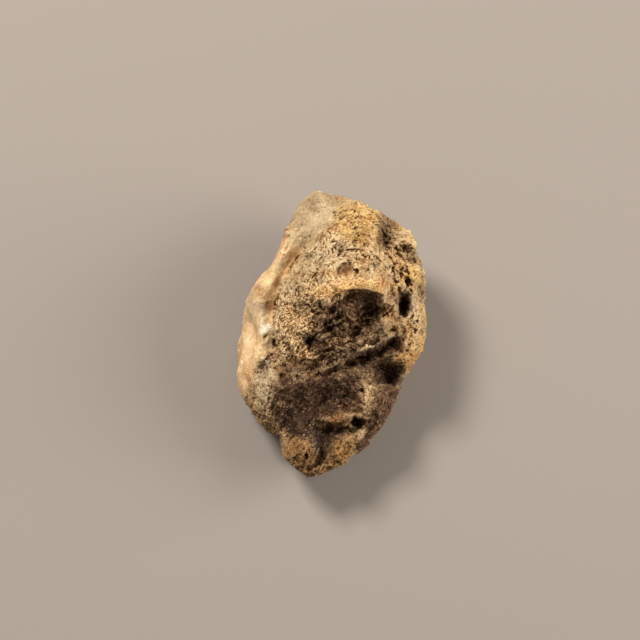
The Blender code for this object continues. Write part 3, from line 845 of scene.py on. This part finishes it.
class Relief(Nodes):
    """Fields of the geometry tree that raise crust, layers, chips, pores and grains on the skin."""

    def __init__(self, tree, given):
        super().__init__(tree)
        self.given = given
        self.position = self.add("GeometryNodeInputPosition")
        shift = self.add("ShaderNodeCombineXYZ", {0: self.times(given["Seed"], 13.7), 1: given["Seed"]})
        place = self.vector("ADD", self.position, shift)
        broad_sway = self.sway(place, BROAD_SWAY_SCALE, 2.0)
        fine_sway = self.sway(place, FINE_SWAY_SCALE, 2.0)
        sway = self.vector(
            "ADD", self.vector("SCALE", broad_sway, BROAD_SWAY), self.vector("SCALE", fine_sway, FINE_SWAY)
        )
        self.swayed = self.vector("ADD", self.position, sway)
        self.place = self.vector("ADD", self.swayed, shift)
        self.umber_and_shade, self.worn, coarse = (self.weight(name) for name in ("umber_and_shade", "worn", "coarse"))
        broken = self.times(coarse, self.umber_and_shade)
        self.calm = self.plus(self.plus(1.0, self.worn, -0.75), broken, 0.6)
        self.layers = self.lie_in_layers()
        self.pressed = self.press()

    def weight(self, name):
        return self.add("GeometryNodeInputNamedAttribute", {"Name": name}, data_type="FLOAT")

    def lie_in_layers(self):
        """Rings about the crown on most of the face, and a slanting set on its left."""
        from_crown = self.vector("SUBTRACT", self.swayed, RING_CENTRE)
        rings = self.add("ShaderNodeVectorMath", {0: from_crown}, "Value", operation="LENGTH")
        slant = self.dot(self.swayed, LAYER_RISE)
        leftness = self.ramp(self.add("ShaderNodeSeparateXYZ", {0: self.position}), 0.0, -2.5)
        return Layers(from_crown, rings, slant, leftness)

    def press(self):
        """The place where a point's chips and pores are read, which flattens them along the layers."""
        from_crown, rings, slant, leftness = self.layers
        slant_squeeze = self.vector("SCALE", self.fixed(LAYER_RISE), slant)
        ring_squeeze = self.vector(
            "SCALE", self.vector("NORMALIZE", from_crown), self.math("SUBTRACT", rings, 4.0)
        )
        choice = {0: leftness, 4: ring_squeeze, 5: slant_squeeze}
        squeeze = self.add("ShaderNodeMix", choice, 1, data_type="VECTOR")
        return self.vector("ADD", self.place, self.vector("SCALE", squeeze, LAYER_SQUEEZE))

    def steps(self):
        """Saw-toothed steps, one every so many millimetres, and finer ones between them."""
        _, rings, slant, leftness = self.layers
        layer = self.add("ShaderNodeMix", {0: leftness, 2: rings, 3: slant})
        crown = self.times(self.ramp(rings, 5.6, 4.2), self.ramp(rings, 0.9, 1.6))
        patches = self.ramp(self.noise(self.place, 0.3, 1.0), 0.42, 0.6, 0.0, 0.8)
        layered = self.times(self.larger(patches, crown), self.calm)
        spacings = (self.given["Ledge Spacing"], self.times(self.given["Ledge Spacing"], LEAF_SHARE))
        for spacing in spacings:
            turn = self.math("FRACT", self.math("DIVIDE", layer, spacing))
            yield self.times(self.ramp(turn, 0.0, 1.0), layered)

    def chips(self, scale):
        """Flat chips, each tilted its own way."""
        cell = self.cells(self.pressed, scale).node.outputs
        tilt = self.vector("SUBTRACT", cell["Color"], (0.5, 0.5, 0.5))
        from_middle = self.vector("SUBTRACT", self.pressed, cell["Position"])
        return self.times(self.dot(tilt, from_middle), scale)

    def bowls(self, scale, share):
        """Round pores of many depths, in a share of all cells."""
        chosen = self.ramp(self.lot(self.pressed, scale), self.math("SUBTRACT", 1.0, share), 1.0)
        dip = self.ramp(self.cells(self.pressed, scale), 0.55, 0.1)
        return self.times(dip, self.math("POWER", chosen, 0.5))

    def pores(self):
        """The larger pores and the fine ones. They crowd together, and are few on worn skin and crown."""
        cluster = self.ramp(self.noise(self.place, 0.45, 2.0, 0.6), 0.38, 0.66)
        share = self.plus(self.plus(0.06, cluster, 0.32), self.umber_and_shade, 0.15)
        share = self.times(share, self.calm, self.ramp(self.layers.rings, 3.6, 5.6, 0.3, 1.0))
        cell_scale = self.math("DIVIDE", PORE_FILL, self.given["Cell Size"])
        pore_scale = self.math("DIVIDE", PORE_FILL, self.given["Pore Size"])
        return self.bowls(cell_scale, self.times(share, 0.8)), self.bowls(pore_scale, share)

    def grains(self, scale):
        """Round grains of many heights, crowded together."""
        dome = self.ramp(self.cells(self.pressed, scale), 0.6, 0.1)
        return self.times(dome, self.lot(self.pressed, scale))

    def rise(self):
        """How far each point is raised, and how deep it lies in the larger and the fine pores."""
        given, calm = self.given, self.calm
        ledge, leaf = self.steps()
        cell, pore = self.pores()
        chip = self.plus(self.times(self.chips(CHIP_SCALES[1]), 0.5), self.chips(CHIP_SCALES[0]), 1.0)
        grain = self.plus(self.times(self.grains(GRAIN_SCALES[1]), 0.4), self.grains(GRAIN_SCALES[0]), 1.0)
        crust = self.ripple(self.pressed, 1.0, 2.3, 0.75)
        lumps = self.ripple(self.place, 0.55, 3.0, 0.6)
        rise = self.times(lumps, self.plus(1.0, self.worn, -0.5), given["Lump Height"])
        parts = (
            (crust, self.times(given["Crust Height"], calm)),
            (chip, self.times(given["Chip Height"], calm)),
            (grain, self.times(given["Grain Height"], calm)),
            (ledge, self.times(given["Ledge Depth"], -1.0)),
            (leaf, self.times(given["Ledge Depth"], -0.4)),
            (cell, self.times(given["Cell Depth"], -1.0)),
            (pore, self.times(given["Pore Depth"], -1.0)),
        )
        for shape, height in parts:
            rise = self.plus(rise, shape, height)
        return rise, cell, pore


def relief_tree(material):
    """Raises the relief on the skin. Stores how deep each point lies in its pores."""
    tree = bpy.data.node_groups.new("weathered_relief", "GeometryNodeTree")
    new_input(tree, "Skin", "NodeSocketGeometry")
    for name in RELIEF_INPUTS:
        new_input(tree, name)
    tree.interface.new_socket("Skin", in_out="OUTPUT", socket_type="NodeSocketGeometry")
    given = tree.nodes.new("NodeGroupInput").outputs
    nodes = Relief(tree, given)
    rise, cell, pore = nodes.rise()

    move = nodes.vector("SCALE", nodes.add("GeometryNodeInputNormal"), rise)
    skin = nodes.add("GeometryNodeSetPosition", {"Geometry": given["Skin"], "Offset": move})
    for name, value in (("cell", cell), ("fine_pore", pore)):
        stored = {"Geometry": skin, "Name": name, "Value": value}
        skin = nodes.add("GeometryNodeStoreNamedAttribute", stored, data_type="FLOAT", domain="POINT")
    skin = nodes.add("GeometryNodeRealizeInstances", {"Geometry": skin})
    skin = nodes.add("GeometryNodeSetMaterial", {"Geometry": skin, "Material": material})
    output = tree.nodes.new("NodeGroupOutput")
    tree.links.new(skin, output.inputs[0])
    return tree


def weathered(mesh, settings, material):
    """The dense skin with its relief, as a plain mesh."""
    tree = relief_tree(material)
    body = bpy.data.objects.new("relief", mesh)
    bpy.context.scene.collection.objects.link(body)
    modifier = body.modifiers.new("relief", "NODES")
    modifier.node_group = tree
    for socket in tree.interface.items_tree:
        if socket.name in RELIEF_INPUTS:
            modifier[socket.identifier] = float(getattr(settings, RELIEF_INPUTS[socket.name]))
    graph = bpy.context.evaluated_depsgraph_get()
    result = bpy.data.meshes.new_from_object(body.evaluated_get(graph), depsgraph=graph)
    body.modifiers.clear()
    bpy.data.objects.remove(body)
    bpy.data.meshes.remove(mesh)
    return result


def store_hollowness(mesh):
    """Stores how far each point lies under the mean of the skin round it, in mm."""
    points, normals = read_points(mesh), read_normals(mesh)
    for name, rounds in HOLLOW_ROUNDS.items():
        mean = neighbour_mean(mesh, points, rounds)
        store(mesh, name, np.einsum("ij,ij->i", mean - points, normals))


def keep_in_box(mesh):
    """Holds every point inside the solid's own box."""
    points = read_points(mesh)
    low, high = np.array(CAD_LOW), np.array(CAD_HIGH)
    write_points(mesh, np.clip(points, low, high))


# -------------------- materials


class Paint(Nodes):
    """Nodes of the stone's shader, which read the mesh's weights and mix colours. Places are in mm."""

    def __init__(self, tree, colours):
        super().__init__(tree)
        self.colours = colours
        self.place = self.vector("SCALE", self.add("ShaderNodeTexCoord", output="Object"), 1 / MM)
        sway = self.sway(self.place, PAINT_SWAY_SCALE, 3.0)
        self.swayed = self.vector("ADD", self.place, self.vector("SCALE", sway, PAINT_SWAY))
        self.pressed = self.press()
        self.umber_and_shade, self.worn, self.coarse = (self.weight(name) for name in ("umber_and_shade", "worn", "coarse"))
        self.bare = self.times(self.coarse, self.math("SUBTRACT", 1.0, self.umber_and_shade))
        self.raised = self.ramp(self.weight("hollow_fine"), -0.008, -0.06)
        gritty = self.plus(self.plus(1.05, self.umber_and_shade, 0.15), self.worn, -0.85)
        self.gritty = self.plus(gritty, self.coarse, 1.6)

    def weight(self, name):
        return self.add("ShaderNodeAttribute", output="Fac", attribute_name=name)

    def mix(self, amount, first, second, blend="MIX"):
        """Some of the second colour over the first. A colour may be a plain one or come from a node."""
        inputs = {0: amount}
        for place, colour in ((6, first), (7, second)):
            plain = not isinstance(colour, bpy.types.NodeSocket)
            inputs[place] = (*colour, 1.0) if plain else colour
        return self.add("ShaderNodeMix", inputs, 2, data_type="RGBA", blend_type=blend)

    def press(self):
        """The place where a point's grains are read, which flattens them along their own slant."""
        across = self.dot(self.place, GRAIN_RISE)
        squeeze = self.vector("SCALE", self.fixed(GRAIN_RISE), self.times(across, GRAIN_SQUEEZE))
        return self.vector("ADD", self.place, squeeze)

    def tones(self):
        """The lighter tone of each colour family, and its darker tone, which is deeper and richer."""
        colours, weight = self.colours, self.weight
        blotch = self.ramp(self.noise(self.swayed, 0.6, 4.0, 0.65), 0.36, 0.64)
        ragged = self.ramp(self.noise(self.swayed, 1.3, 4.0, 0.7), 0.42, 0.58, 0.55, 1.0)
        light = self.mix(blotch, colours.buff, colours.chalk)
        light = self.mix(self.times(weight("cream"), ragged), light, colours.cream)
        light = self.mix(self.times(weight("ochre"), ragged), light, colours.ochre)
        light = self.mix(self.times(weight("ash"), 0.8), light, colours.ash)
        light = self.mix(self.times(weight("rust"), ragged), light, colours.rust)
        stain_and_shade = self.times(self.umber_and_shade, self.math("POWER", ragged, 0.4))
        reveal = self.times(self.raised, self.times(self.coarse, -0.22))
        stain_and_shade = self.plus(stain_and_shade, stain_and_shade, reveal)
        # Umber: broken brown, and painted shade on faces that turn down, under the brow and in the pits.
        light = self.mix(stain_and_shade, light, colours.umber_and_shade)
        # Painted shade: near-black colour over the most deeply shaded places.
        light = self.mix(self.times(weight("char"), ragged), light, colours.char)
        light = self.mix(self.ramp(weight("cream"), 0.82, 0.96), light, colours.white)
        deep = self.add("ShaderNodeGamma", {"Color": light, "Gamma": DEEP_GAMMA})
        deep = self.mix(1.0, deep, DEEP_TINT, "MULTIPLY")
        deep = self.mix(self.bare, deep, self.mix(1.0, deep, BARE_DEEP_TINT, "MULTIPLY"))
        return light, deep

    def grit(self):
        """Grains, specks and crumbs, as a number about 0."""
        speck = self.ripple(self.pressed, SPECK_SCALE, 4.0, 0.82)
        fleck = self.ripple(self.vector("ADD", self.pressed, (7.0, 3.0, 1.0)), FLECK_SCALE, 2.0, 0.6)
        lot = self.math("SUBTRACT", self.lot(self.swayed, LOT_SCALE), 0.5)
        crumb = self.times(self.math("SUBTRACT", self.lot(self.place, CRUMB_SCALE), 0.5), self.coarse)
        grit = self.plus(self.plus(self.times(lot, 0.9), fleck, 3.4), speck, 2.0)
        return self.plus(grit, crumb, 1.0)

    def tone(self, grit):
        """Picks between the darker tone, at 0, and the lighter one, at 1. Raised grains are lighter."""
        broad = self.ripple(self.swayed, 0.35, 2.0)
        tone = self.plus(self.plus(0.72, broad, 0.9), grit, self.gritty)
        tone = self.plus(self.plus(tone, self.worn, -0.16), self.coarse, 0.05)
        return self.plus(self.plus(tone, self.raised, 0.5), self.bare, -0.28)

    def pits(self):
        """Small round pits, in some of the cells of a pattern."""
        pits = self.ramp(self.cells(self.swayed, PIT_SCALE), 0.42, 0.12)
        pits = self.times(pits, self.ramp(self.lot(self.swayed, PIT_SCALE), 0.55, 0.7))
        return self.times(pits, self.math("MINIMUM", self.gritty, 1.0))

    def hollow_shade(self, pits):
        """Painted shade: how deep each point lies in a pit, a pore, a crease or a hollow, which darkens it
        towards the pore colour.
        """
        cell = self.ramp(self.weight("cell"), 0.3, 1.0, 0.0, 0.55)
        hollow_shade = self.larger(cell, self.ramp(self.weight("fine_pore"), 0.2, 0.9, 0.0, 0.7))
        hollow_shade = self.larger(hollow_shade, self.times(pits, 0.5))
        narrow = self.ramp(self.weight("hollow_fine"), 0.015, 0.09)
        hollow_shade = self.larger(hollow_shade, self.times(narrow, self.plus(1.0, self.bare, -0.4)))
        return self.larger(hollow_shade, self.ramp(self.weight("hollow_broad"), 0.2, 0.8, 0.0, 0.5))

    def colour(self, grit, pits):
        colours = self.colours
        light, deep = self.tones()
        tone = self.tone(grit)
        colour = self.mix(self.ramp(tone, 0.0, 1.0), deep, light)
        colour = self.mix(self.times(self.raised, self.bare, 0.8), colour, colours.chalk)

        gaps = self.times(self.ramp(tone, 0.2, -0.5, 0.0, 0.9), self.math("SUBTRACT", 1.0, self.worn))
        colour = self.mix(gaps, colour, colours.pore)

        glints = self.ramp(self.cells(self.pressed, GLINT_SCALE), 0.45, 0.2)
        glints = self.times(glints, self.ramp(self.lot(self.pressed, GLINT_SCALE), 0.62, 0.8))
        colour = self.mix(self.times(glints, self.times(self.umber_and_shade, 0.7)), colour, colours.buff)
        # Painted shade in the pits, pores, creases and hollows.
        return self.mix(self.hollow_shade(pits), colour, colours.pore)

    def normal(self, grit, pits):
        """Fine grit, too small for the mesh, as bump. It is gentler on bare coarse skin."""
        rough = self.math("MINIMUM", self.gritty, self.plus(1.1, self.bare, -0.6))
        height = self.plus(self.times(grit, rough), pits, -0.35)
        return self.add("ShaderNodeBump", {"Height": height, "Strength": 1.0, "Distance": BUMP_DEPTH * MM})


def matt_material(name, roughness, specular):
    """A new material with a matt finish, and its shader."""
    material = bpy.data.materials.new(name)
    material.use_nodes = True
    shader = material.node_tree.nodes["Principled BSDF"]
    shader.inputs["Roughness"].default_value = roughness
    shader.inputs["Specular IOR Level"].default_value = specular
    return material, shader


def stone_material(colours):
    """Chalky weathered stone, with pale grains and dark pores, umber where it is broken, and painted shade
    on faces that turn down and in hollows.
    """
    material, shader = matt_material("weathered_chondrite", 0.88, 0.25)
    tree = material.node_tree
    paint = Paint(tree, colours)
    grit, pits = paint.grit(), paint.pits()
    tree.links.new(paint.colour(grit, pits), shader.inputs["Base Color"])
    tree.links.new(paint.normal(grit, pits), shader.inputs["Normal"])
    return material


def floor_material(colour):
    """Plain pale matt surface."""
    material, shader = matt_material("pale_floor", 0.9, 0.1)
    shader.inputs["Base Color"].default_value = (*colour, 1.0)
    return material


# -------------------- operators


class METEORITE_OT_stone(Operator):
    """Build the meteorite fragment's weathered skin over its solid"""

    bl_idname = "meteorite.stone"
    bl_label = "Weathered Stone"

    def execute(self, context):
        settings = context.scene.meteorite_stone
        mesh = dense_skin()
        paint_zones(mesh)
        sharpen(mesh)
        mesh = weathered(mesh, settings, stone_material(settings))
        store_hollowness(mesh)
        mesh = thinned(mesh)
        mesh.transform(FACE_TO_WORLD)
        keep_in_box(mesh)
        mesh.shade_smooth()
        stone = bpy.data.objects.new("weathered_stone", mesh)
        context.scene.collection.objects.link(stone)
        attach(stone, "root")
        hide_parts("meteorite_fragment")
        return {"FINISHED"}


def face_direction(across, up, out):
    """A direction of the face frame, in the world."""
    return (FACE_TO_WORLD.to_3x3() @ Vector((across, up, out))).normalized()


def add_area_light(name, direction, power, side):
    """A square lamp that shines on the stone from a direction of its face frame."""
    direction = face_direction(*direction)
    light = bpy.data.lights.new(name, "AREA")
    light.energy = power
    light.size = side
    light.color = LIGHT_COLOUR
    lamp = bpy.data.objects.new(name, light)
    bpy.context.scene.collection.objects.link(lamp)
    lamp.location = FACE_TO_WORLD.translation + direction * LAMP_DISTANCE
    lamp.rotation_euler = direction.to_track_quat("Z", "Y").to_euler()
    return lamp


class METEORITE_OT_stage(Operator):
    """Set the floor, the lights and the camera"""

    bl_idname = "meteorite.stage"
    bl_label = "Stage"

    def execute(self, context):
        settings = context.scene.meteorite_stage
        self.add_floor(settings)
        add_area_light("key_light", KEY_DIRECTION, settings.key_power, KEY_SIDE)
        add_area_light("fill_light", FILL_DIRECTION, settings.fill_power, FILL_SIDE)
        self.add_sky(context, settings)
        self.add_camera(context)
        context.scene.view_settings.view_transform = "Standard"
        return {"FINISHED"}

    def add_floor(self, settings):
        bpy.ops.mesh.primitive_plane_add(size=FLOOR_SIDE, location=(0, 0, 0))
        floor = bpy.context.object
        floor.name = "floor"
        floor.data.materials.append(floor_material(settings.floor_colour))

    def add_sky(self, context, settings):
        world = bpy.data.worlds.new("studio")
        context.scene.world = world
        world.use_nodes = True
        background = world.node_tree.nodes["Background"]
        background.inputs["Color"].default_value = (*SKY_COLOUR, 1.0)
        background.inputs["Strength"].default_value = settings.sky_strength

    def add_camera(self, context):
        data = bpy.data.cameras.new("camera")
        data.sensor_width = SENSOR
        data.lens = SENSOR * VIEW_DISTANCE / (PICTURE_SIDE / PIXELS_PER_MM)
        data.clip_start = 0.01
        data.clip_end = 10
        camera = bpy.data.objects.new("camera", data)
        context.scene.collection.objects.link(camera)
        turn = FACE_TO_WORLD.to_3x3().normalized().to_4x4()
        spot = FACE_TO_WORLD @ Vector((*VIEW_CENTRE, VIEW_DISTANCE))
        camera.matrix_world = Matrix.Translation(spot) @ turn
        context.scene.camera = camera


class METEORITE_PT_panel(Panel):
    """Lists the meteorite's pieces and their settings"""

    bl_idname = "METEORITE_PT_panel"
    bl_label = "Meteorite Fragment"
    bl_space_type = "VIEW_3D"
    bl_region_type = "UI"
    bl_category = "Meteorite"

    def draw(self, context):
        for part in ("stone", "stage"):
            box = self.layout.box()
            settings = getattr(context.scene, f"meteorite_{part}")
            for name in settings.__annotations__:
                box.prop(settings, name)
            box.operator(f"meteorite.{part}")


CLASSES = (
    MeteoriteStoneSettings,
    MeteoriteStageSettings,
    METEORITE_OT_stone,
    METEORITE_OT_stage,
    METEORITE_PT_panel,
)


def register():
    for item in CLASSES:
        bpy.utils.register_class(item)
    bpy.types.Scene.meteorite_stone = PointerProperty(type=MeteoriteStoneSettings)
    bpy.types.Scene.meteorite_stage = PointerProperty(type=MeteoriteStageSettings)


def unregister():
    del bpy.types.Scene.meteorite_stage
    del bpy.types.Scene.meteorite_stone
    for item in reversed(CLASSES):
        bpy.utils.unregister_class(item)


def main():
    register()
    bpy.ops.meteorite.stone()
    bpy.ops.meteorite.stage()


if __name__ == "__main__":
    main()
